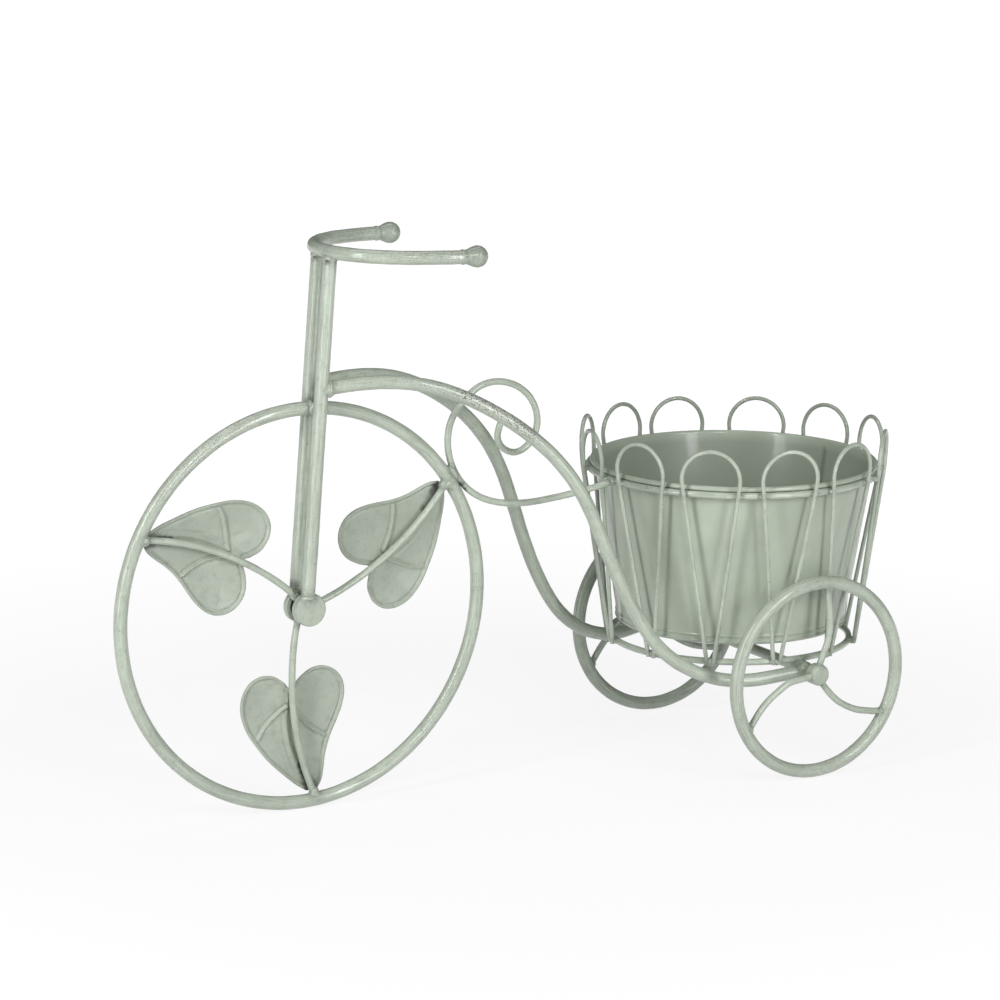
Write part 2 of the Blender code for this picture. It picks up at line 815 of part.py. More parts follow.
def pot_base():
    """The flat bottom disc, which lies on the wall's inner flange."""
    low = pot_wall_thickness + fit_gap
    radius = pot_inner_radius(low) - fit_gap
    profile = [(0, pot_base_thickness), (radius, pot_base_thickness), (radius, 0), (0, 0)]
    base = turned(profile, pot_steps)
    base.location = (basket_centre, 0, pot_foot_height + low)
    keep(base, "pot_base", paint_pot, 0.5)


def centre_on_origin():
    """Move the whole planter so that the middle of its outline stands on the origin."""
    bpy.context.view_layer.update()
    graph = bpy.context.evaluated_depsgraph_get()
    places = []
    for part in parts.objects:
        if part.type in {"MESH", "CURVE"}:
            solid = part.evaluated_get(graph)
            places += [(solid.matrix_world @ corner.co).x for corner in solid.to_mesh().vertices]
            solid.to_mesh_clear()
    planter.location = (-(min(places) + max(places)) / 2, 0, 0)


front_rim()
front_hub_discs()
front_spokes_and_leaves()
rear_rims()
rear_hubs()
rear_spokes()
rear_axle()
handlebar_and_knobs()
fork_rods()
frame_arches()
scroll()
basket_rings()
basket_loops()
pot_wall()
pot_base()
centre_on_origin()
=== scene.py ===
import math

import bmesh
import bpy
import numpy as np
from mathutils import Matrix, Vector


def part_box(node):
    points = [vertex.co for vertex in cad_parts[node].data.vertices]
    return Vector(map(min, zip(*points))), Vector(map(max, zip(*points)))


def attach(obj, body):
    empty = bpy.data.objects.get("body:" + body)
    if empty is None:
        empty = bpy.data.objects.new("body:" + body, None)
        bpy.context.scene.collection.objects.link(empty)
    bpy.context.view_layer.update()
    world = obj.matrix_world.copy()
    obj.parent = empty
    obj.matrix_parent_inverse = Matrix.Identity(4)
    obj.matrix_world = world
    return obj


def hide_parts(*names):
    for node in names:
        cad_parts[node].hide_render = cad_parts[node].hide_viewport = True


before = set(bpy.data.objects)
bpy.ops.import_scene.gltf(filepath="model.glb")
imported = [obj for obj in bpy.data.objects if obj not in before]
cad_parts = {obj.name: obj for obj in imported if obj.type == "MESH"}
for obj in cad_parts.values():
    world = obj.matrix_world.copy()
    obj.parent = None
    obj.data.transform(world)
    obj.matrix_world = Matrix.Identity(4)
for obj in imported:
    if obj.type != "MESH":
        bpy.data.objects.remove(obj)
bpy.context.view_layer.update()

# Where the planter stands: the front wheel's middle, and the basket's middle line.
# The modelled wheel sits a little further back than its node.
rim_low, rim_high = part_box("front_wheel_rim")
front_hub = (rim_low + rim_high) / 2
wheel_shift = 0.0005
wheel_middle = front_hub + Vector((wheel_shift, 0, 0))
ring_low, ring_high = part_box("basket_bottom_ring")
basket_middle = (ring_low + ring_high) / 2

# Stock, each by its radius
rod = 0.0040
axle_rod = 0.00325
spoke_rod = 0.0020
loop_rod = 0.00128

# Wheels
big_rim = 0.116
small_rim = 0.0575
half_track = 0.08994
leaf_tip_angle = math.radians(33.9)

# Basket and pot
top_ring = 0.0877
top_ring_height = 0.1741
bottom_ring = 0.0729
bottom_ring_height = 0.0700
pot_rim = 0.0856
pot_rim_height = 0.17745
pot_foot = 0.069
pot_foot_height = 0.07975

# Colours of the paint, of what shows through it, and of painted shadow and seams
sage = (0.440, 0.498, 0.412)
worn_metal = (0.680, 0.675, 0.630)
bare_dark = (0.080, 0.072, 0.058)
shadow_and_seam_dark = (0.022, 0.024, 0.020)


def millimetres(*values):
    return Vector(value / 1000 for value in values)


def from_hub(x, y, z):
    """A place given in millimetres from the spot on the floor under the front wheel's middle."""
    return Vector((front_hub.x, 0, 0)) + millimetres(x, y, z)


# Nodes

def add_node(tree, kind, inlets, outlet=0, operation=None, data_type=None):
    """Adds a node fed by plain values or by other nodes, and gives one of its outlets."""
    node = tree.nodes.new(kind)
    if operation:
        node.operation = operation
    if data_type:
        node.data_type = data_type
    for key, value in inlets.items():
        if isinstance(value, bpy.types.NodeSocket):
            tree.links.new(value, node.inputs[key])
        else:
            node.inputs[key].default_value = value
    return node.outputs[outlet]


# Paint

def paint(name, colour=sage, roughness=0.42, grain=1.0, wear=1.0, brushed=0.0, streaks_and_highlight=0.0, coat=0.7):
    """Satin paint over metal: soft blotches, fine grain, worn spots, dark specks, dirt and painted shade by
    welds.

    Brushed: fine strokes round Z. Streaked: light and dark lines along rods, partly painted highlight and
    shade.
    """
    material = bpy.data.materials.new(name)
    material.use_nodes = True
    tree = material.node_tree
    place = add_node(tree, "ShaderNodeTexCoord", {}, "Object")

    def noise(scale, detail, rough=0.5, where=place):
        return add_node(tree, "ShaderNodeTexNoise", {
            "Scale": scale, "Detail": detail, "Roughness": rough, "Vector": where}, "Fac")

    def ramp(source, low, high, start=0.0, end=1.0):
        return add_node(tree, "ShaderNodeMapRange", {
            "Value": source, "From Min": low, "From Max": high, "To Min": start, "To Max": end}, "Result")

    def times(first, second):
        return add_node(tree, "ShaderNodeMath", {0: first, 1: second}, operation="MULTIPLY")

    def blend(share, first, second):
        first, second = ((*value, 1) if isinstance(value, tuple) else value for value in (first, second))
        return add_node(tree, "ShaderNodeMix", {"Factor": share, 6: first, 7: second}, 2, data_type="RGBA")

    def attribute(key, outlet="Fac"):
        node = tree.nodes.new("ShaderNodeAttribute")
        node.attribute_name = key
        return node.outputs[outlet]

    def toned(share, lift=0.0):
        return tuple(value * share + lift for value in colour)

    def bump(height, strength, distance, over=None):
        inlets = {"Strength": strength, "Distance": distance, "Height": height}
        if over is not None:
            inlets["Normal"] = over
        return add_node(tree, "ShaderNodeBump", inlets, "Normal")

    shade = blend(ramp(noise(34, 3), 0.38, 0.66), colour, toned(1.10, 0.02))
    if not brushed:
        shade = blend(times(ramp(noise(190, 4, 0.6), 0.50, 0.74), 0.6), shade, toned(0.76))
    shade = blend(times(ramp(noise(820, 3, 0.6), 0.50, 0.68), 0.35 * grain), shade, toned(0.76))
    relief = bump(noise(330, 5, 0.55), 0.35 * grain, 0.0004)
    # Light and dark streaks along the rod: partly random tone, partly painted highlight and shade of thin
    # lines.
    if streaks_and_highlight:
        onward = add_node(tree, "ShaderNodeCombineXYZ", {"Z": times(attribute("along"), 0.028)})
        lie = add_node(tree, "ShaderNodeVectorMath", {0: attribute("round", "Vector"), 1: onward})
        streaks = noise(2300, 3, where=lie)
        shade = blend(times(ramp(streaks, 0.56, 0.68), 0.5 * streaks_and_highlight), shade, toned(1.25, 0.03))
        shade = blend(times(ramp(streaks, 0.48, 0.34), 0.5 * streaks_and_highlight), shade, toned(0.52))
        relief = bump(streaks, 0.9 * streaks_and_highlight, 0.0003, relief)
    if brushed:
        squeezed = add_node(tree, "ShaderNodeMapping", {"Scale": (0.06, 0.06, 1), "Vector": place})
        relief = bump(noise(2600, 3, where=squeezed), brushed, 0.0001, relief)
    # Painted shade: darker paint on the pot's inner side and on the far loops, where less light falls.
    shade = blend(times(attribute("inside"), 0.64), shade, toned(0.66))
    # Darker paint round each weld: dirt, and painted shade in the crevices where parts meet.
    weld_dirt_and_shade = times(ramp(attribute("weld_dirt_and_shade"), 0.0, 1.0), ramp(noise(420, 3), 0.28, 0.58))
    shade = blend(times(weld_dirt_and_shade, 0.85), shade, toned(0.24))
    worn = ramp(attribute("wear"), 0.0, 1.0)
    patches = times(times(worn, ramp(noise(520, 4, 0.7), 0.51, 0.63)), wear)
    shade = blend(patches, shade, worn_metal)
    pits = times(times(worn, ramp(noise(1250, 3, 0.65), 0.52, 0.57)), wear)
    shade = blend(pits, shade, bare_dark)
    specks = times(ramp(noise(760, 1), 0.715, 0.76), 0.6 * wear)
    shade = blend(specks, shade, toned(0.35))
    # Painted shadow, near black, where pieces touch and under the pot's rim; also the pot's dark seam.
    shade = blend(times(attribute("contact_shadow_and_seam"), 0.92), shade, shadow_and_seam_dark)
    gloss = ramp(noise(260, 4), 0.0, 1.0, roughness - 0.07, roughness + 0.12)

    shader = tree.nodes["Principled BSDF"].inputs
    for socket, source in (("Base Color", shade), ("Metallic", times(patches, 0.65)),
                           ("Roughness", gloss), ("Normal", relief)):
        tree.links.new(source, shader[socket])
    shader["Coat Weight"].default_value = coat
    shader["Coat Roughness"].default_value = 0.11
    return material


rod_paint = paint("sage_rod_paint", streaks_and_highlight=1.0)
wire_paint = paint("sage_wire_paint", grain=0.7, streaks_and_highlight=0.8)
button_paint = paint("sage_button_paint", (0.400, 0.455, 0.375), grain=0.6, wear=0.6, coat=0.4)
knob_paint = paint("sage_knob_paint", (0.315, 0.365, 0.298), grain=0.5, wear=0.5, coat=0.4)
# Near-black paint on the hub's slot faces: painted shade.
slot_paint = paint("shaded_slot_paint", (0.030, 0.032, 0.028), grain=0.3, wear=0.0)
leaf_paint = paint("sage_leaf_paint", (0.375, 0.420, 0.350), roughness=0.48, grain=0.6, wear=0.4, coat=0.12)
pot_paint = paint("sage_pot_paint", (0.388, 0.446, 0.360), roughness=0.36, grain=0.25, wear=0.0,
                  brushed=0.5, coat=0.5)
weld_paint = paint("sage_weld_paint", roughness=0.36, grain=1.6)


# Trees that make what follows a path and what repeats

def new_tree(name, sizes):
    """An empty tree with a way in and out; each size has a name, a kind and its usual value."""
    tree = bpy.data.node_groups.new(name, "GeometryNodeTree")
    tree.interface.new_socket(name="Geometry", in_out="INPUT", socket_type="NodeSocketGeometry")
    for key, kind, value in sizes:
        socket = tree.interface.new_socket(name=key, in_out="INPUT", socket_type=kind)
        if value is not None:
            socket.default_value = value
    tree.interface.new_socket(name="Geometry", in_out="OUTPUT", socket_type="NodeSocketGeometry")
    start = tree.nodes.new("NodeGroupInput")
    end = tree.nodes.new("NodeGroupOutput")
    return tree, start.outputs, end.inputs


def uneven(tree, geometry, amount, scale, seed):
    """Lifts and sinks a surface by a soft noise, as hammered or thickly painted metal is."""
    noise = tree.nodes.new("ShaderNodeTexNoise")
    noise.noise_dimensions = "4D"
    noise.inputs["Detail"].default_value = 2
    tree.links.new(scale, noise.inputs["Scale"])
    tree.links.new(seed, noise.inputs["W"])
    centred = add_node(tree, "ShaderNodeMath", {0: noise.outputs[0], 1: 0.5}, operation="SUBTRACT")
    strength = add_node(tree, "ShaderNodeMath", {0: centred, 1: amount}, operation="MULTIPLY")
    normal = add_node(tree, "GeometryNodeInputNormal", {})
    offset = add_node(tree, "ShaderNodeVectorMath", {0: normal, "Scale": strength}, operation="SCALE")
    return add_node(tree, "GeometryNodeSetPosition", {"Geometry": geometry, "Offset": offset})


def mark(tree, geometry, key, kind, source):
    """Keeps a value of the path or of the rod's section for the paint's streaks."""
    return add_node(tree, "GeometryNodeStoreNamedAttribute", {
        "Name": key, "Geometry": geometry, "Value": source}, data_type=kind)


def swept(tree, path, given):
    """A round section along a path, with its place on both kept."""
    ring = add_node(tree, "GeometryNodeCurvePrimitiveCircle", {
        "Resolution": given["Sides"], "Radius": given["Radius"]})
    around = add_node(tree, "GeometryNodeInputPosition", {})
    along = add_node(tree, "GeometryNodeSplineParameter", {}, "Length")
    return add_node(tree, "GeometryNodeCurveToMesh", {
        "Curve": mark(tree, path, "along", "FLOAT", along),
        "Profile Curve": mark(tree, ring, "round", "FLOAT_VECTOR", around), "Fill Caps": True})


def repeated(tree, given, instance):
    """The instance at every point, with the size and turn that its point carries."""
    carried = {
        socket: add_node(tree, "GeometryNodeInputNamedAttribute", {"Name": key}, "Attribute",
                         data_type="FLOAT_VECTOR")
        for key, socket in (("size", "Scale"), ("turn", "Rotation"))}
    drop = add_node(tree, "GeometryNodeInstanceOnPoints", {
        "Points": given["Geometry"], "Instance": instance, **carried})
    return add_node(tree, "GeometryNodeRealizeInstances", {0: drop})


def finish_tree(tree, geometry, given, out, amount="Unevenness"):
    """Makes the surface uneven, real and smooth, and paints it."""
    rough = uneven(tree, geometry, given[amount], given["Grain"], given["Seed"])
    real = add_node(tree, "GeometryNodeRealizeInstances", {0: rough})
    smooth = add_node(tree, "GeometryNodeSetShadeSmooth", {"Geometry": real})
    painted = add_node(tree, "GeometryNodeSetMaterial", {"Geometry": smooth, "Material": given["Paint"]})
    tree.links.new(painted, out["Geometry"])
    return tree


def bent_rod_tree():
    """A round rod along every path."""
    tree, given, out = new_tree("bent_rod", (
        ("Radius", "NodeSocketFloat", rod), ("Sides", "NodeSocketInt", 24),
        ("Unevenness", "NodeSocketFloat", 0.0003), ("Grain", "NodeSocketFloat", 120.0),
        ("Seed", "NodeSocketFloat", 1.0), ("Paint", "NodeSocketMaterial", None)))
    path = add_node(tree, "GeometryNodeMeshToCurve", {0: given["Geometry"]})
    return finish_tree(tree, swept(tree, path, given), given, out)


def beads_tree():
    """A lumpy weld bead at every point, with the point's own size and turn."""
    tree, given, out = new_tree("weld_beads", (
        ("Lumps", "NodeSocketFloat", 0.0011), ("Grain", "NodeSocketFloat", 330.0),
        ("Seed", "NodeSocketFloat", 3.0), ("Paint", "NodeSocketMaterial", None)))
    ball = add_node(tree, "GeometryNodeMeshIcoSphere", {"Radius": 1, "Subdivisions": 4}, "Mesh")
    return finish_tree(tree, repeated(tree, given, ball), given, out, "Lumps")


def loops_tree():
    """The basket's loop along one path, repeated at every point with the point's size and turn."""
    tree, given, out = new_tree("basket_loops", (
        ("Path", "NodeSocketObject", None), ("Radius", "NodeSocketFloat", loop_rod),
        ("Sides", "NodeSocketInt", 16), ("Unevenness", "NodeSocketFloat", 0.0002),
        ("Grain", "NodeSocketFloat", 160.0), ("Seed", "NodeSocketFloat", 5.0),
        ("Paint", "NodeSocketMaterial", None)))
    shown = add_node(tree, "GeometryNodeObjectInfo", {"Object": given["Path"]}, "Geometry")
    path = add_node(tree, "GeometryNodeMeshToCurve", {0: shown})
    return finish_tree(tree, repeated(tree, given, swept(tree, path, given)), given, out)


# Pieces

def in_scene(name, data):
    """An object of the data, put in the scene."""
    piece = bpy.data.objects.new(name, data)
    bpy.context.scene.collection.objects.link(piece)
    return piece


def closed_mesh(name, corners, faces, crease, move=Matrix.Identity(4)):
    """A mesh with its faces turned outward, smooth but for edges sharper than the crease."""
    mesh = bpy.data.meshes.new(name)
    mesh.from_pydata(corners, [], faces)
    shape = bmesh.new()
    shape.from_mesh(mesh)
    bmesh.ops.recalc_face_normals(shape, faces=shape.faces)
    shape.to_mesh(mesh)
    shape.free()
    mesh.transform(move)
    mesh.shade_smooth()
    mesh.set_sharp_from_angle(angle=math.radians(crease))
    return mesh


def points_mesh(name, points, closed=False, edges=True, **attributes):
    """A path or a set of points as a plain mesh, with any vector attributes."""
    mesh = bpy.data.meshes.new(name)
    links = [(index, index + 1) for index in range(len(points) - 1)] if edges else []
    if closed:
        links.append((len(points) - 1, 0))
    mesh.from_pydata([tuple(point) for point in points], links, [])
    for key, values in attributes.items():
        layer = mesh.attributes.new(key, "FLOAT_VECTOR", "POINT")
        layer.data.foreach_set("vector", np.array(values, float).reshape(-1))
    return in_scene(name, mesh)


def grown(source, name, tree, **values):
    """What a tree makes of the source, as a plain mesh object; the source goes."""
    step = source.modifiers.new("make", "NODES")
    step.node_group = tree
    for item in tree.interface.items_tree:
        if item.in_out == "INPUT" and item.name in values:
            step[item.identifier] = values[item.name]
    graph = bpy.context.evaluated_depsgraph_get()
    mesh = bpy.data.meshes.new_from_object(source.evaluated_get(graph))
    bpy.data.objects.remove(source)
    return in_scene(name, mesh)


bent_rod = bent_rod_tree()
weld_beads = beads_tree()
loop_row = loops_tree()
joints = []
made = []


def joint(place, size, turn=(0, 0, 0)):
    """Notes a weld: its middle, its half sizes in millimetres and its turn."""
    joints.append((Vector(place), [value / 1000 for value in size], turn))


def place_piece(piece, body, slot, *nodes):
    """Notes a finished piece with its body and hides the nodes that it stands for. The slot is not used."""
    made.append(piece)
    piece["body_name"] = body
    if nodes:
        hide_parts(*nodes)
    return piece


def make_rod(name, points, nodes, radius=rod, closed=False, material=None, seed=1.0, sides=24,
             unevenness=0.00035):
    """A bent rod or wire along the points."""
    piece = grown(points_mesh(name, points, closed), name, bent_rod, Radius=radius, Sides=sides,
                  Unevenness=unevenness, Grain=110.0, Seed=seed, Paint=material or rod_paint)
    return place_piece(piece, "frame", "frame_paint" if radius > spoke_rod else "wire_paint", *nodes)


# Paths

def smooth_route(points, steps):
    """Points of a smooth curve through the given ones."""
    padded = [2 * points[0] - points[1], *points, 2 * points[-1] - points[-2]]
    route = []
    for index in range(len(points) - 1):
        before, start, end, after = padded[index:index + 4]
        for step in range(steps):
            t = step / steps
            ahead = (end - before) / 2
            onward = (after - start) / 2
            route.append(start * (2 * t ** 3 - 3 * t ** 2 + 1) + ahead * (t ** 3 - 2 * t ** 2 + t)
                         + end * (3 * t ** 2 - 2 * t ** 3) + onward * (t ** 3 - t ** 2))
    route.append(points[-1])
    return route


def eased(route, share):
    """The route with each inner point pulled toward its neighbours by a share."""
    return route[:1] + [
        before * share + here * (1 - 2 * share) + after * share
        for before, here, after in zip(route, route[1:], route[2:])
    ] + route[-1:]


def straight(start, end, step=0.003):
    count = max(2, round((end - start).length / step))
    return [start.lerp(end, index / count) for index in range(count + 1)]


def wheel_point(centre, radius, angle, side=0.0):
    """A place round an upright wheel, by its angle from +X toward +Z."""
    return centre + Vector((radius * math.cos(angle), side, radius * math.sin(angle)))


def circle(centre, radius, count, upright=True):
    angles = [2 * math.pi * index / count for index in range(count)]
    if upright:
        return [wheel_point(centre, radius, angle) for angle in angles]
    return [centre + Vector((radius * math.cos(angle), radius * math.sin(angle), 0)) for angle in angles]


# Front wheel

def leaf_angle(index):
    """Direction of a leaf's tip, and of its spoke's outer end, from the front hub."""
    return leaf_tip_angle + index * 2 * math.pi / 3


def front_spoke_path(index):
    """From hub to rim: a bow all the way, and a sharper hook close to the hub."""
    start = 0.003
    end = big_rim - 0.003
    bow = math.radians(20.5)
    hook = math.radians(10)
    path = []
    for step in range(61):
        share = step / 60
        turn = bow * (1 - share) + hook * (1 - share) ** 8
        path.append(wheel_point(wheel_middle, start + share * (end - start), leaf_angle(index) - turn))
    return path


def make_front_wheel():
    make_rod("front_rim_tube", circle(wheel_middle, big_rim, 260), ("front_wheel_rim",),
             closed=True, seed=2.0)
    for index in range(3):
        path = front_spoke_path(index)
        make_rod(f"front_spoke_wire_{index + 1}", path, (f"front_spoke_{index + 1}",), radius=spoke_rod,
                 material=wire_paint, seed=3.0 + index, sides=18, unevenness=0.0004)
        joint(path[3], (3.0, 2.2, 2.6), (0, -leaf_angle(index), 0))
        joint(path[-1], (4.6, 3.6, 3.4), (0, -leaf_angle(index), 0))


def turned_mesh(profile, steps, closed_profile=False):
    """Vertices and faces of a body turned about Z; a point on the axis becomes one corner."""
    corners = []
    rows = []
    for radius, height in profile:
        if radius < 1e-7:
            rows.append([len(corners)] * steps)
            corners.append((0, 0, height))
        else:
            rows.append(list(range(len(corners), len(corners) + steps)))
            turns = [2 * math.pi * k / steps for k in range(steps)]
            corners += [(radius * math.cos(turn), radius * math.sin(turn), height) for turn in turns]
    pairs = list(zip(rows, rows[1:]))
    if closed_profile:
        pairs.append((rows[-1], rows[0]))
    faces = []
    for upper, lower in pairs:
        for k in range(steps):
            after = (k + 1) % steps
            loop = [upper[k], lower[k], lower[after], upper[after]]
            unique = [corner for n, corner in enumerate(loop) if corner != loop[n - 1]]
            if len(unique) > 2:
                faces.append(unique)
    return corners, faces


def turned_piece(name, profile, steps, place, turn=None, closed_profile=False, crease=35):
    """A body turned about Z from its profile, then turned and moved to its place."""
    corners, faces = turned_mesh(profile, steps, closed_profile)
    turned = turn.to_matrix().to_4x4() if turn else Matrix.Identity(4)
    return in_scene(name, closed_mesh(name, corners, faces, crease, Matrix.Translation(place) @ turned))


def round_corner(radius, height, size, start, end, steps=6):
    """Profile points round a corner whose middle is at the radius and height, in degrees."""
    angles = [math.radians(start + (end - start) * step / steps) for step in range(steps + 1)]
    return [(radius + size * math.cos(angle), height + size * math.sin(angle)) for angle in angles]


def facing(side):
    """The turn that points a body's Z out to its own side of the planter."""
    return Matrix.Rotation(-side * math.pi / 2, 3, "X").to_quaternion()


def make_front_hub():
    """Two round discs with an open slot between them, where the spokes meet; the slot is painted shade."""
    radius = 0.0097
    edge = 0.0012
    slot = 0.0071
    for name, side, back, top in (("near", -1, 0.0044, 0.0062), ("far", 1, 0.0022, 0.0044)):
        profile = [(0, top), (radius * 0.45, top - 0.00004)]
        profile += round_corner(radius - edge, top - edge, edge, 90, 0)
        profile += round_corner(radius - edge / 2, edge / 2, edge / 2, 0, -90, 3)
        profile += [(slot, 0), (0, 0)]
        place = wheel_middle + Vector((0, side * back, 0))
        disc = turned_piece("front_hub_" + name, profile, 64, place, facing(side))
        disc.data.materials.append(button_paint)
        disc.data.materials.append(slot_paint)
        # Faces toward the slot get the near-black paint: painted shade.
        for face in disc.data.polygons:
            faces_slot = abs(face.center.y - place.y) < 0.00005 and abs(face.normal.y) > 0.9
            reach = max((disc.data.vertices[corner].co - place).length for corner in face.vertices)
            if faces_slot and reach < slot + 0.0001:
                face.material_index = 1
        place_piece(disc, "frame", "frame_paint", "front_hub_disc_" + name)


# Leaves

# Length, half width, tilt of its middle line off the spoke, and its shift back from the wheel
leaf_length = 0.078
leaf_width = 0.034
leaf_tilt = math.radians(9.5)
leaf_shift = 0.0007

# The leaf's lines: shares of its length from the tip, and of its half width
leaf_outline = (
    (0.019, 0.120), (0.097, 0.290), (0.187, 0.441), (0.281, 0.590), (0.377, 0.720),
    (0.487, 0.837), (0.611, 0.946), (0.721, 0.990), (0.818, 0.975), (0.911, 0.885),
    (0.979, 0.720), (1.0, 0.540), (0.994, 0.400), (0.960, 0.225), (0.892, 0.085),
    (0.834, -0.007), (0.887, -0.230), (0.918, -0.440), (0.914, -0.640), (0.872, -0.825),
    (0.807, -0.945), (0.726, -0.998), (0.643, -0.975), (0.555, -0.881), (0.472, -0.745),
    (0.389, -0.588), (0.312, -0.466), (0.224, -0.363), (0.136, -0.288), (0.058, -0.205),
    (0.004, -0.09),
)
leaf_midrib = (
    (0.84, 0.0), (0.80, 0.05), (0.752, 0.083), (0.605, 0.174), (0.45, 0.219), (0.283, 0.191),
    (0.123, 0.119), (0.02, 0.06),
)
leaf_veins = (
    ((0.702, 0.125), (0.669, 0.31), (0.638, 0.47), (0.594, 0.65), (0.526, 0.82)),
    ((0.663, -0.005), (0.575, -0.085), (0.497, -0.195), (0.429, -0.33), (0.355, -0.52)),
)


def leaf_spot(length_share, width_share):
    return np.array((length_share * leaf_length, width_share * leaf_width))


def leaf_route(shares, steps):
    route = smooth_route([Vector((*leaf_spot(*share), 0)) for share in shares], steps)
    return np.array([(point.x, point.y) for point in route])


def distance_to_route(spots, route):
    """Distance of each spot from a route of straight spans."""
    best = np.full(len(spots), 1e9)
    for start, end in zip(route, route[1:]):
        along = end - start
        t = np.clip(((spots - start) @ along) / max(along @ along, 1e-12), 0, 1)
        best = np.minimum(best, np.linalg.norm(spots - start - t[:, None] * along, axis=1))
    return best


def ridge(distance, width, middle=0.0):
    """Share of a soft ridge's height at a distance."""
    return np.exp(-((distance - middle) / width) ** 2)


def make_leaf(index):
    """A pressed heart leaf behind its spoke, with a rolled edge, a midrib and two side veins."""
    outline = leaf_route(leaf_outline, 8)
    centre = leaf_spot(0.595, 0)
    rings = 76
    spots = [centre[None, :]]
    for ring in range(1, rings + 1):
        share = 1 - (1 - ring / rings) ** 1.6
        spots.append(centre + (outline - centre) * share)
    spots = np.concatenate(spots)

    edge = distance_to_route(spots, np.concatenate([outline, outline[:1]]))
    midrib = distance_to_route(spots, leaf_route(leaf_midrib, 8))
    vein = np.minimum(*(distance_to_route(spots, leaf_route(shares, 8)) for shares in leaf_veins))
    roll = 0.00085
    dish = 0.0014
    height = roll * ridge(edge, 0.0008, 0.0009)
    height += -0.0006 * ridge(edge, 0.0006, 0.0026)
    height -= dish * np.clip((edge - 0.003) / 0.012, 0, 1)
    field = np.clip((edge - 0.0016) / 0.0012, 0, 1)
    height += field * (0.0010 * ridge(vein, 0.00085) - 0.0006 * ridge(vein, 0.0005, 0.0018))
    height += 0.0008 * ridge(midrib, 0.0013) - 0.0003 * ridge(midrib, 0.0007, 0.0026)

    sheet = 0.0008
    tip = big_rim - rod - 0.0003
    back = spoke_rod + 0.0004 + roll
    across, up = math.cos(leaf_angle(index)), math.sin(leaf_angle(index))
    corners = []
    for level in (0, sheet):
        for (p, q), high in zip(spots, height):
            x = tip - math.cos(leaf_tilt) * p + math.sin(leaf_tilt) * q
            z = -math.sin(leaf_tilt) * p - math.cos(leaf_tilt) * q
            corners.append((wheel_middle.x + leaf_shift + x * across - z * up, back - high + level,
                            front_hub.z + x * up + z * across))
    count = len(outline)
    total = len(spots)

    def ring_start(ring):
        return 1 + (ring - 1) * count

    faces = []
    for base, order in ((0, 1), (total, -1)):
        for k in range(count):
            after = (k + 1) % count
            faces.append([base, base + ring_start(1) + k, base + ring_start(1) + after][::order])
            for ring in range(1, rings):
                inner, outer = base + ring_start(ring), base + ring_start(ring + 1)
                faces.append([inner + k, outer + k, outer + after, inner + after][::order])
    outer = ring_start(rings)
    for k in range(count):
        after = (k + 1) % count
        faces.append([outer + k, total + outer + k, total + outer + after, outer + after])
    mesh = closed_mesh("leaf_sheet", corners, faces, 50)
    mesh.materials.append(leaf_paint)
    place_piece(in_scene(f"leaf_sheet_{index + 1}", mesh), "frame", "leaf_paint", f"leaf_{index + 1}")


# Rear wheels and axle

# The rims' and the hubs' middles, back from the front hub and up, in millimetres
rear_rim_back, rear_rim_up = 300.2, 61.8
rear_hub_back, rear_hub_up = 299.5, 63.6

# Each rear spoke as it was bent: share of the way from hub to rim, direction in degrees
rear_spoke_bends = (
    ((0.0, 78.0), (0.03, 77.2), (0.20, 72.3), (0.35, 71.5), (0.515, 74.6), (0.71, 79.0), (0.917, 82.6),
     (1.0, 83.4)),
    ((0.0, -58.5), (0.095, -56.5), (0.30, -50.7), (0.465, -45.8), (0.66, -39.8), (0.85, -33.7),
     (1.0, -29.8)),
    ((0.0, -171.5), (0.126, -173.4), (0.274, -174.0), (0.375, -171.2), (0.604, -163.5), (0.773, -158.2),
     (1.0, -151.4)),
)


def rear_spoke_path(centre, hub, bends):
    """From the hub, which sits a little over the rim's own centre, out to the rim."""
    inner = 0.0050
    outer = small_rim - rod + 0.0008
    route = []
    for share, turn in bends:
        middle = centre + (hub - centre) * (1 - share)
        route.append(wheel_point(middle, inner + share * (outer - inner), math.radians(turn)))
    return smooth_route(route, 9)


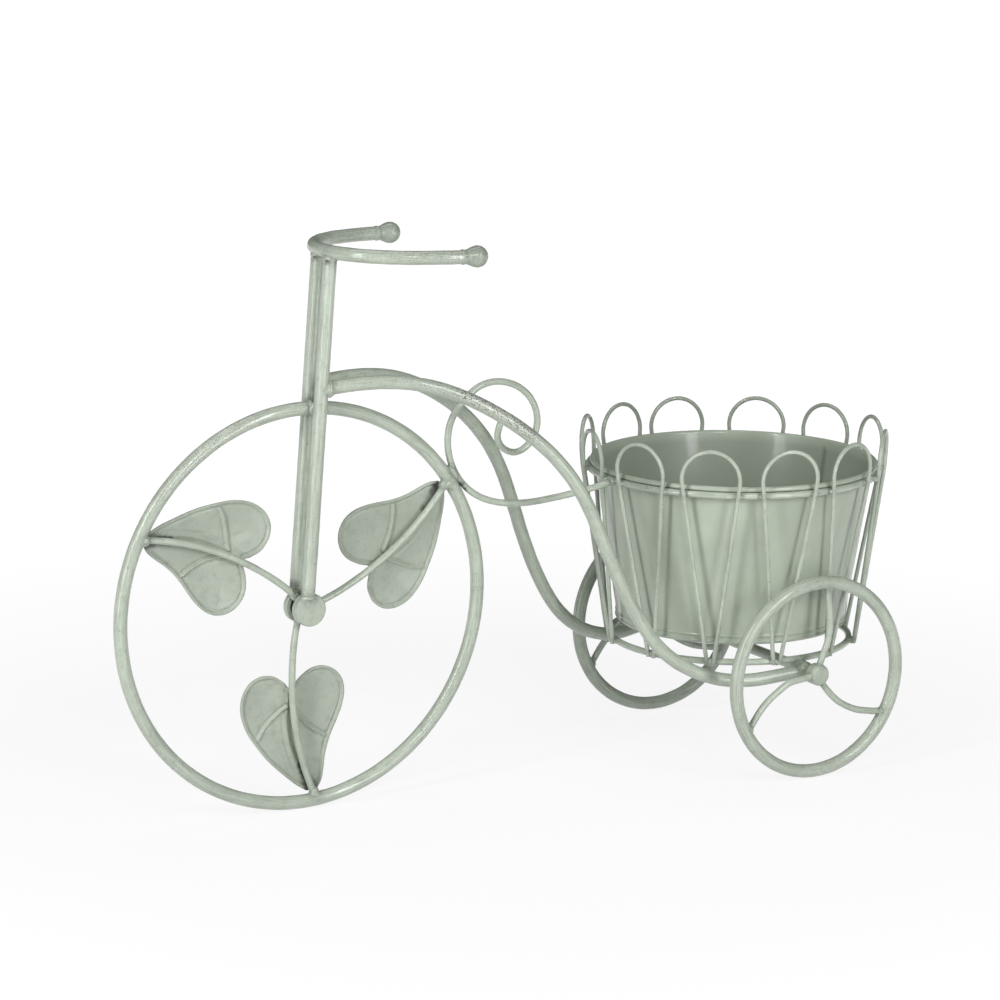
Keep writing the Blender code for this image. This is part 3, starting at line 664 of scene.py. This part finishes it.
def make_rear_wheels():
    track = half_track * 1000
    radius = 0.0064
    flat = 0.00425
    depth = 0.004
    button = [(0, depth), (flat * 0.6, depth)]
    button += round_corner(flat, depth - (radius - flat), radius - flat, 90, 0, 10)
    button += round_corner(radius - 0.0008, -depth + 0.0008, 0.0008, 0, -90, 3)
    button += [(0, -depth)]
    for name, side in (("near", -1), ("far", 1)):
        centre = from_hub(rear_rim_back + side * 0.8, side * (track - 0.8), rear_rim_up - side * 0.2)
        make_rod("rear_rim_tube_" + name, circle(centre, small_rim, 150), ("rear_wheel_rim_" + name,),
                 closed=True, seed=10.0 + side)
        hub_middle = from_hub(rear_hub_back, side * (track - 0.3), rear_hub_up)
        for index, bends in enumerate(rear_spoke_bends):
            path = rear_spoke_path(centre, hub_middle, bends)
            make_rod(f"rear_spoke_wire_{name}_{index + 1}", path, (f"rear_spoke_{name}_{index + 1}",),
                     radius=spoke_rod, material=wire_paint, seed=14.0 + index, sides=18, unevenness=0.0004)
            joint(path[2], (2.6, 2.5, 2.7), (0, -math.radians(bends[0][1]), 0))
            joint(path[-1], (2.3, 2.9, 3.0), (0, -math.radians(bends[-1][1]), 0))
        hub = turned_piece("rear_hub_button_" + name, button, 56, hub_middle, facing(side))
        hub.data.materials.append(button_paint)
        place_piece(hub, "frame", "frame_paint", "rear_hub_" + name)
        joint(hub_middle + millimetres(0, -side * 4.4, 0.0), (4.6, 1.6, 4.6))
    ends = [from_hub(300, side * (track - 3), 63.7) for side in (-1, 1)]
    make_rod("axle_rod", straight(*ends), ("rear_axle",), radius=axle_rod, seed=20.0)


# Fork, handlebar and knobs

# One half of the handlebar: controls of its curve, forward and out from the middle, in millimetres
bar_controls = ((12.4, 0), (12.4, 23.4), (33.28, 49.3), (84.4, 50.3))
bar_height = 326.1
bar_slope = 0.023

# A knob's neck, from its ball down to the rod's end
knob_neck = [
    (0.00585, 0.0078), (0.00555, 0.0070), (0.00515, 0.0060), (0.00475, 0.0050), (0.00440, 0.0041),
    (0.00418, 0.0033), (0.00412, 0.0026), (0.00425, 0.0020), (0.00440, 0.0013), (0.00435, 0.0006),
    (0.00405, 0.0001), (0.0036, -0.0002), (0.0034, -0.0012), (0, -0.0014),
]

# The fork rods' axes, in millimetres
fork_half_gap = 8.3
fork_low = 128.4
fork_high = 321.8
fork_lean = 13.5


def bar_point(share, side):
    rest = 1 - share
    weights = (rest ** 3, 3 * rest ** 2 * share, 3 * rest * share ** 2, share ** 3)
    x = sum(weight * control[0] for weight, control in zip(weights, bar_controls))
    y = sum(weight * control[1] for weight, control in zip(weights, bar_controls))
    return from_hub(x, side * y, bar_height - bar_slope * (x - bar_controls[0][0]))


def make_handlebar():
    reach = 0.935
    near = [bar_point(reach * step / 44, -1) for step in range(45)]
    far = [bar_point(reach * step / 44, 1) for step in range(45)]
    make_rod("handlebar_tube", [*reversed(near), *far[1:]], ("handlebar",), seed=22.0, unevenness=0.0005)
    ball = 0.0063
    neck = 0.0103
    profile = [(0, neck + ball), *round_corner(0, neck, ball, 90, -16, 20)[1:], *knob_neck]
    for name, side, path in (("near", -1, near), ("far", 1, far)):
        middle = bar_point(1, side)
        way = (middle - path[-1]).normalized()
        knob = turned_piece("grip_knob_" + name, profile, 48, middle - way * neck,
                            way.to_track_quat("Z", "Y"), crease=60)
        knob.data.materials.append(knob_paint)
        place_piece(knob, "frame", "frame_paint", "knob_" + name)


def fork_point(height, side):
    """A place on a fork rod's axis at a height in millimetres."""
    share = (height - fork_low) / (fork_high - fork_low)
    return from_hub(-0.6 + share * fork_lean + (0.5 + 0.5 * side) * 1.1, side * fork_half_gap, height)


def make_fork():
    for name, side in (("near", -1), ("far", 1)):
        make_rod("fork_tube_" + name, straight(fork_point(126.5, side), fork_point(324.0, side)),
                 ("fork_rod_" + name,), seed=24.0 + side, unevenness=0.0004)
        joint(fork_point(127.6, side) + millimetres(0, side * 0.6, 0), (4.9, 4.1, 2.2))
        joint(fork_point(322.4, side), (4.6, 4.5, 2.6))
        joint(fork_point(235.9, side) + millimetres(0, -side * 4.0, 0), (5.0, 2.6, 4.4))
    joint(fork_point(236.6, 0) + millimetres(-3.2, 0, 0.6), (3.0, 5.2, 3.7))


# Frame arches

# How far an arch goes outward for each step back, and its shape from the fork to the rear hub
arch_spread = 0.2383
arch_route = (
    (7.6, 247.4), (19.9, 249.5), (31.5, 250.1), (43.6, 250.6), (57, 249.4), (70.5, 247), (84, 242.3),
    (98.2, 235.7), (112.4, 227.4), (125, 218.5), (137.6, 208.4), (150.3, 194.7), (158.9, 181.8),
    (165.1, 169.6), (171.9, 154.3), (178.2, 136.5), (184.5, 123.5), (191.5, 108), (200.2, 94.1),
    (208.4, 82.6), (217.8, 74.1), (232.2, 65.7), (246.5, 60.4), (264, 59.1), (277.8, 60.6), (291.5, 62.9),
    (299.0, 63.6),
)


def hand_bent(x):
    """How far the far arch strays from the near one's shape."""
    drop = -1.9 * math.exp(-((x - 58) / 46) ** 2) - 1.0 * math.exp(-((x - 240) / 26) ** 2)
    forward = -2.6 * math.exp(-((x - 180) / 42) ** 2)
    return forward, 0, drop


def arch_path(side):
    """The arch lies in its own upright plane, which spreads from the fork to the rear hub."""
    start = arch_route[0][0]
    route = [from_hub(x, side * (fork_half_gap + arch_spread * (x - start)), z) for x, z in arch_route]
    if side > 0:
        route = [point + millimetres(*hand_bent(x)) for point, (x, z) in zip(route, arch_route)]
    return smooth_route(eased(route, 0.25), 6)


def make_arches():
    for name, side in (("near", -1), ("far", 1)):
        path = arch_path(side)
        make_rod("arch_tube_" + name, path, ("frame_arch_" + name,), seed=28.0 + side, unevenness=0.0005)
        joint(path[0] + millimetres(4.6, side * 1.2, 0.4), (3.4, 4.7, 5.0), (0, 0, side * 0.24))
        joint(path[-1] + millimetres(-1.5, side * 0.6, 0.8), (6.0, 4.8, 4.9))
        joint(from_hub(297.5, side * 75.6, 66.4), (5.4, 4.2, 3.4), (0.1, 0.2, 0.3))


# Scroll

# From the curled end round to the basket, and where it stops being flat and leans outward
scroll_route = (
    (132.9, 218.8), (130.3, 213.7), (128.3, 207.3), (131.1, 201.7), (135.9, 198.2), (141.4, 196.5),
    (147.6, 198.4), (152.6, 202.9), (156.0, 208.9), (156.9, 215.6), (155.2, 223.5), (150.5, 231.0),
    (142.9, 237), (133.3, 240.6), (123.8, 241), (116.4, 238.9), (110.4, 235.2), (103.4, 228.9),
    (99.0, 223.2), (96.2, 216.4), (95.2, 208.6), (96.2, 199.6), (99.4, 190.4), (104.9, 182.1),
    (112.4, 175.4), (122, 170.2), (134.3, 167.2), (148.8, 166.3), (163.2, 167.3), (180.6, 169.3),
    (192.5, 171.1), (206.6, 174.0),
)
scroll_flat_points = 18
scroll_flat_to = 98
scroll_lean = 4.1


def make_scroll():
    """The scroll is flat round its curl and then leans out a little toward the basket."""
    span = scroll_route[-1][0] - scroll_flat_to
    route = []
    for index, (x, z) in enumerate(scroll_route):
        away = max(0, (x - scroll_flat_to) / span) if index >= scroll_flat_points else 0
        route.append(from_hub(x, -scroll_lean * away, z))
    path = smooth_route(eased(route, 0.2), 6)
    make_rod("scroll_wire", path, ("scroll",), radius=spoke_rod, material=wire_paint, seed=32.0, sides=18)
    touch = math.radians(35)
    joint(wheel_point(front_hub, 0.1207, touch), (2.6, 3.6, 5.6), (0, -touch, 0))
    joint(path[-1], (2.8, 2.6, 2.7))


# Basket

# The first loop's turn and how far each one is off its even place, in degrees
first_loop_turn = 17.6
loop_turns = (-0.5, -0.6, 1.5, -1.6, -2.0, -0.3, 1.0, 0.1, 0.1, -0.8, 0.2, 0.4)

# Turn from a loop's middle to either leg at the top ring, in radians
leg_turn = 0.187

# The loops stand lower on one side of the basket than on the other, in millimetres
loop_height = 130
loop_drop = 0.26
loop_drop_swing = 0.93
lowest_loop_turn = math.radians(59)


def loop_path():
    """One loop facing +X: a narrow foot, two legs that spread, and a round head."""
    off_ring = 0.0038
    head_lean = math.radians(3.4)
    depth = top_ring_height - bottom_ring_height
    rise = depth + 0.0087
    foot = 0.00205
    arc = 0.0173
    slant = math.atan2(foot, rise)
    spread = math.asin(arc / math.hypot(foot, rise)) - slant
    foot_reach = bottom_ring + off_ring
    ring_half = foot + depth * math.tan(spread)
    ring_reach = math.sqrt((top_ring + off_ring) ** 2 - ring_half ** 2)

    def reach(height):
        if height < depth:
            return foot_reach + (ring_reach - foot_reach) * height / depth
        return ring_reach + math.tan(head_lean) * (height - depth)

    leg = [(foot + height * math.tan(spread), height) for height in np.linspace(-0.0012, rise, 44)]
    head = [(arc * math.cos(angle), rise + arc * math.sin(angle))
            for angle in np.linspace(-spread, math.pi + spread, 49)[2:-2]]
    leg = [point for point in leg if point[1] < rise - arc * math.sin(spread) - 0.001]
    outline = [*leg, *head, *((-across, height) for across, height in reversed(leg))]
    return [Vector((reach(height), across, bottom_ring_height + height)) for across, height in outline]


def make_basket():
    for name, radius, height, node in (
            ("top_ring_wire", top_ring, top_ring_height, "basket_top_ring"),
            ("bottom_ring_wire", bottom_ring, bottom_ring_height, "basket_bottom_ring")):
        middle = Vector((basket_middle.x - (0.0004 if radius == bottom_ring else 0), 0, height))
        make_rod(name, circle(middle, radius, 220, upright=False), (node,), radius=spoke_rod, closed=True,
                 material=wire_paint, seed=36.0, sides=18, unevenness=0.0003)
    path = points_mesh("loop_path", loop_path())
    middle = Vector((basket_middle.x - 0.0003, 0, 0))
    turns = [(0, 0, math.radians(first_loop_turn + 30 * index + turn))
             for index, turn in enumerate(loop_turns)]
    shares = [1 - (loop_drop + loop_drop_swing * math.cos(angle - lowest_loop_turn)) / loop_height
              for x, y, angle in turns]
    places = [middle + Vector((0, 0, bottom_ring_height * (1 - share))) for share in shares]
    points = points_mesh("loop_points", places, edges=False, turn=turns,
                         size=[(1, 1, share) for share in shares])
    loops = grown(points, "basket_loop_wires", loop_row, Path=path, Radius=loop_rod, Sides=16,
                  Unevenness=0.0003, Grain=160.0, Seed=38.0, Paint=wire_paint)
    bpy.data.objects.remove(path)
    place_piece(loops, "frame", "wire_paint", *(f"basket_loop_{index + 1:02d}" for index in range(12)))

    def weld(reach, angle, height, size):
        way = Vector((math.cos(angle), math.sin(angle), 0))
        joint(middle + way * reach + Vector((0, 0, height)), size, (0, 0, angle))

    for x, y, angle in turns:
        weld(bottom_ring + 0.0022, angle, bottom_ring_height, (2.0, 3.6, 2.1))
        for side in (-1, 1):
            weld(top_ring + 0.0021, angle + side * leg_turn, top_ring_height, (1.7, 2.0, 1.7))


# Pot

def store(mesh, key, values):
    """Keeps a value for each corner of a mesh, for its paint."""
    layer = mesh.attributes.new(key, "FLOAT", "POINT")
    layer.data.foreach_set("value", np.asarray(values, np.float32))


def paint_inside_shade(piece, is_inside):
    """Marks the pot's inner side for painted shade: its paint is darkened there."""
    marks = []
    for corner in piece.data.vertices:
        reach = math.hypot(corner.co.x - basket_middle.x, corner.co.y)
        below_rim = corner.co.z < pot_rim_height - 0.002
        marks.append(1.0 if is_inside(reach, corner.co.z) and below_rim else 0.0)
    store(piece.data, "inside", marks)


def make_pot():
    wall = 0.0008
    bead = 0.00175
    depth = pot_rim_height - pot_foot_height

    def inside(height):
        return (pot_foot - wall) + (pot_rim - bead - pot_foot + wall) * height / depth

    profile = round_corner(pot_rim, depth, bead, 176, -125, 18)
    profile += [(inside(depth - 0.0022) + wall, depth - 0.0022)]
    profile += [(inside(height) + wall, height) for height in np.linspace(depth - 0.004, 0.0062, 24)]
    profile += round_corner(inside(0.0050) + wall - 0.0001, 0.0050, 0.00065, 60, -60, 5)
    profile += [(inside(0.0036) + wall + 0.00005, 0.0038)]
    profile += round_corner(inside(0.0022) + wall + 0.0001, 0.0017, 0.0009, 70, -80, 7)
    profile += [(inside(0) + wall - 0.0002, 0.0), (inside(0) - 0.0016, 0.0), (inside(0) - 0.0016, wall)]
    profile += [(inside(height), height) for height in np.linspace(wall, depth - 0.001, 24)]
    place = Vector((basket_middle.x, 0, pot_foot_height))
    piece = turned_piece("pot_sheet", profile, 192, place, closed_profile=True, crease=50)
    piece.data.materials.append(pot_paint)
    paint_inside_shade(piece, lambda reach, height: reach < inside(height - pot_foot_height) + wall / 2)
    place_piece(piece, "pot", "pot_paint", "pot_wall")
    low = wall + 0.0003
    radius = inside(low) - 0.0003
    groove = wall - 0.0003
    profile = [(0, wall), (radius * 0.8, wall), (radius * 0.82, groove), (radius * 0.96, groove),
               (radius, wall), (radius, 0), (0, 0)]
    base = turned_piece("pot_floor", profile, 128, place + Vector((0, 0, low)), crease=30)
    base.data.materials.append(pot_paint)
    paint_inside_shade(base, lambda reach, height: height > pot_foot_height + low)
    place_piece(base, "pot", "pot_paint", "pot_base")


def make_beads():
    """Every weld of the frame as one piece of painted beads."""
    points = points_mesh("weld_points", [place for place, size, turn in joints], edges=False,
                         size=[size for place, size, turn in joints],
                         turn=[turn for place, size, turn in joints])
    beads = grown(points, "weld_beads", weld_beads, Lumps=0.0013, Grain=300.0, Seed=3.0, Paint=weld_paint)
    place_piece(beads, "frame", "frame_paint")


# Marks on the paint

# Worn places: a point in millimetres, how far it reaches in metres and how strong it is
worn_places = [(from_hub(x, y, z), reach, strength) for x, y, z, reach, strength in (
    (74, -24, 249, 0.010, 0.55), (131, -38, 216, 0.007, 0.5), (100, -34, 235, 0.013, 1.0),
    (112, -37, 228, 0.010, 1.0), (88, -31, 240, 0.008, 0.7), (122, -39, 220, 0.009, 0.9),
    (60, -20, 253, 0.012, 0.35), (30, -14, 254, 0.012, 0.3), (12, 0, 331, 0.016, 0.45),
    (45, -40, 330, 0.02, 0.5), (75, -50, 329, 0.016, 0.6), (86, -50, 327, 0.008, 0.8),
    (86, 50, 327, 0.008, 0.8), (60, 46, 330, 0.016, 0.5), (-60, 0, 224, 0.022, 0.32),
    (-85, 0, 203, 0.018, 0.25), (-30, 0, 236, 0.018, 0.2), (141, 0, 197, 0.008, 0.5),
    (215, -35, 178, 0.012, 0.6), (300, -94, 122, 0.010, 0.3), (272, -93, 198, 0.012, 0.5),
)]

# Painted shadow in narrow places where pieces touch, round the wheel, at the fork and at the arches' ends:
# a point and how far it reaches
touching_places = [
    (wheel_point(wheel_middle, 0.1208, math.radians(30.8), -0.0012), 0.0022),
    (wheel_point(wheel_middle, 0.1211, math.radians(29.0), -0.0010), 0.0018),
    (wheel_point(wheel_middle, 0.1208, math.radians(39.6), -0.0010), 0.0018),
    (from_hub(-0.6, fork_half_gap, 131), 0.0040),
    (from_hub(7.5, fork_half_gap, 240.5), 0.0025),
    (from_hub(7.5, -fork_half_gap, 241.5), 0.002),
]
for side in (-1, 1):
    for across in (-3.2, 3.2):
        touching_places.append((fork_point(320.9, side) + millimetres(across, -2.6, 0), 0.0016))
    for step in (0, 5):
        touching_places.append((from_hub(294 - 0.5 * step, side * (77.5 - 0.1 * step), 60.2), 0.0018))

# Painted shadow of the spoke on each leaf, near its tip by the weld: reach from the hub, turn off the tip,
# size
leaf_tip_places = [
    (wheel_point(wheel_middle, reach, leaf_angle(index) - math.radians(turn), 0.0028), size)
    for index in range(3)
    for reach, turn, size in (
        (0.1085, 0.4, 0.0047), (0.1055, 1.0, 0.0042), (0.1022, 1.8, 0.0036), (0.0990, 2.6, 0.0032),
        (0.0955, 3.4, 0.0029))
]

# Painted shadow in the pot's crevice under its rolled rim, and the dark seam of its wall
crevice_below_rim = 0.0022
crevice_half_width = 0.0011
seam_direction = math.radians(13.1)
seam_half_width = 0.01

# The way that the camera looks across the floor: the loops on the far side get painted shade
photo_way = (0.503, 0.838)


def corner_vectors(mesh, key):
    """The corners' places or normals as rows of three."""
    values = np.empty(len(mesh.vertices) * 3)
    mesh.vertices.foreach_get(key, values)
    return values.reshape(-1, 3)


def mark_wear_and_shade(piece):
    """Stores each corner's wear, the dirt and painted shade by its welds, and painted shadow where it
    touches.
    """
    mesh = piece.data
    places = corner_vectors(mesh, "co")
    normals = corner_vectors(mesh, "normal")
    across = places[:, 0] - basket_middle.x
    outward = np.hypot(across, places[:, 1])

    def distance(place):
        return np.linalg.norm(places - np.array(place), axis=1)

    wear = np.zeros(len(places))
    for place, reach, strength in worn_places:
        wear += strength * np.exp(-(distance(place) / reach) ** 2)
    upper_and_near = np.clip(0.55 + 0.5 * normals[:, 2] - 0.4 * normals[:, 1], 0, 1)
    store(mesh, "wear", np.clip(wear, 0, 1) * upper_and_near)

    # Round each weld: dirt and painted crevice shade.
    weld_dirt_and_shade = np.zeros(len(places))
    for place, size, turn in joints:
        away = np.clip(distance(place) - max(size), 0, None) / 0.0016
        weld_dirt_and_shade = np.maximum(weld_dirt_and_shade, 0.5 * np.exp(-away ** 2))
    store(mesh, "weld_dirt_and_shade", weld_dirt_and_shade)

    # Painted shadow where pieces touch, and on each leaf along its spoke near the tip.
    contact_shadow_and_seam = np.zeros(len(places))
    for place, reach in leaf_tip_places if piece.name.startswith("leaf") else touching_places:
        contact_shadow_and_seam = np.maximum(contact_shadow_and_seam, np.exp(-(distance(place) / reach) ** 6))
    # On the pot: painted shadow in the crevice under the rim, and the dark seam inside.
    if piece.name == "pot_sheet":
        off_crevice = (places[:, 2] - (pot_rim_height - crevice_below_rim)) / crevice_half_width
        contact_shadow_and_seam = np.maximum(contact_shadow_and_seam, np.exp(-off_crevice ** 4) * (outward > pot_rim - 0.0013))
        off_seam = np.abs(np.arctan2(places[:, 1], across) - seam_direction)
        contact_shadow_and_seam = np.maximum(contact_shadow_and_seam, 0.5 * (off_seam < seam_half_width) * (outward < pot_rim - 0.0025))
    store(mesh, "contact_shadow_and_seam", contact_shadow_and_seam)

    # Painted shade on the loops on the basket's far side.
    if piece.name == "basket_loop_wires":
        behind = (across * photo_way[0] + places[:, 1] * photo_way[1]) / top_ring
        store(mesh, "inside", 0.8 * np.clip(behind * 2, 0, 1))


make_front_wheel()
make_front_hub()
for leaf_number in range(3):
    make_leaf(leaf_number)
make_rear_wheels()
make_handlebar()
make_fork()
make_arches()
make_scroll()
make_basket()
make_pot()
make_beads()
for piece in made:
    mark_wear_and_shade(piece)
    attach(piece, piece["body_name"])


# Floor, world, lamps and camera

def white_ground():
    """Pale floor: lights the object softly, shows white to the camera and keeps a faint shadow."""
    material = bpy.data.materials.new("pale_floor")
    material.use_nodes = True
    tree = material.node_tree
    tree.nodes.remove(tree.nodes["Principled BSDF"])
    plain = add_node(tree, "ShaderNodeBsdfDiffuse", {"Color": (0.78, 0.78, 0.78, 1)})
    glow = add_node(tree, "ShaderNodeEmission", {"Color": (1, 1, 1, 1), "Strength": 1.05})
    where = add_node(tree, "ShaderNodeTexCoord", {}, "Object")
    reach = add_node(tree, "ShaderNodeVectorMath", {0: where}, "Value", operation="LENGTH")
    fade = add_node(tree, "ShaderNodeMapRange", {
        "Value": reach, "From Min": 0.3, "From Max": 0.9, "To Min": 0.17, "To Max": 0.0}, "Result")
    seen = add_node(tree, "ShaderNodeMixShader", {0: fade, 1: glow, 2: plain})
    ray = tree.nodes.new("ShaderNodeLightPath").outputs
    either = add_node(tree, "ShaderNodeMath", {0: ray["Is Camera Ray"], 1: ray["Is Glossy Ray"]},
                      operation="MAXIMUM")
    picked = add_node(tree, "ShaderNodeMixShader", {0: either, 1: plain, 2: seen})
    tree.links.new(picked, tree.nodes["Material Output"].inputs["Surface"])
    return material


def make_floor():
    size = 12
    corners = [(-size, -size, 0), (size, -size, 0), (size, size, 0), (-size, size, 0)]
    mesh = bpy.data.meshes.new("floor")
    mesh.from_pydata(corners, [], [(0, 1, 2, 3)])
    mesh.materials.append(white_ground())
    floor = in_scene("floor", mesh)
    floor.location.z = -0.0002


def make_world():
    """White to the camera, and a soft even light on the object."""
    world = bpy.data.worlds.new("studio")
    bpy.context.scene.world = world
    world.use_nodes = True
    tree = world.node_tree
    soft = tree.nodes["Background"]
    soft.inputs["Color"].default_value = (1, 1, 1, 1)
    soft.inputs["Strength"].default_value = 0.08
    white = add_node(tree, "ShaderNodeBackground", {"Color": (1, 1, 1, 1), "Strength": 1})
    seen = add_node(tree, "ShaderNodeLightPath", {}, "Is Camera Ray")
    picked = add_node(tree, "ShaderNodeMixShader", {0: seen, 1: soft.outputs[0], 2: white})
    tree.links.new(picked, tree.nodes["World Output"].inputs["Surface"])


def make_lamp(name, place, target, size, power):
    data = bpy.data.lights.new(name, "AREA")
    data.shape = "RECTANGLE"
    data.size, data.size_y = size
    data.energy = power
    lamp = in_scene(name, data)
    lamp.location = place
    lamp.visible_camera = False
    lamp.rotation_euler = (Vector(target) - Vector(place)).to_track_quat("-Z", "Y").to_euler()


def make_camera():
    """The camera that took the photo, as solved from the wheels, the basket's rings and the fork."""
    data = bpy.data.cameras.new("photo_view")
    data.sensor_width = 36
    data.lens = 151.848
    data.shift_y = 0.0004
    data.clip_start = 0.1
    data.clip_end = 40
    right = Vector((0.858665, -0.512399, 0.011904))
    up = Vector((0.098584, 0.187907, 0.977227))
    ahead = Vector((0.502967, 0.837937, -0.211863))
    place = Vector((front_hub.x, 0, 0)) + Vector((-1.114327, -2.07561, 0.694044))
    camera = in_scene("photo_view", data)
    rows = [(right[axis], up[axis], -ahead[axis], place[axis]) for axis in range(3)]
    camera.matrix_world = Matrix((*rows, (0, 0, 0, 1)))
    bpy.context.scene.camera = camera


make_floor()
make_world()
make_lamp("key_light", (-1.95, -0.65, 1.5), (0, 0, 0.15), (0.24, 1.2), 13)
make_lamp("front_light", (-0.6, -2.1, 1.35), (0, 0, 0.15), (0.3, 0.8), 12)
make_lamp("fill_light", (0.6, -2.0, 1.1), (0, 0, 0.15), (0.18, 1.2), 7)
make_lamp("top_light", (0.2, 0.6, 2.3), (0, 0, 0.1), (1.6, 0.4), 8)
make_lamp("left_softbox", (-0.95, -0.31, 0.44), (0, 0, 0.44), (0.20, 0.86), 4.0)
make_lamp("right_softbox", (0.22, -0.98, 0.44), (0, 0, 0.44), (0.16, 0.86), 3.4)
make_camera()
bpy.context.scene.view_settings.view_transform = "Standard"
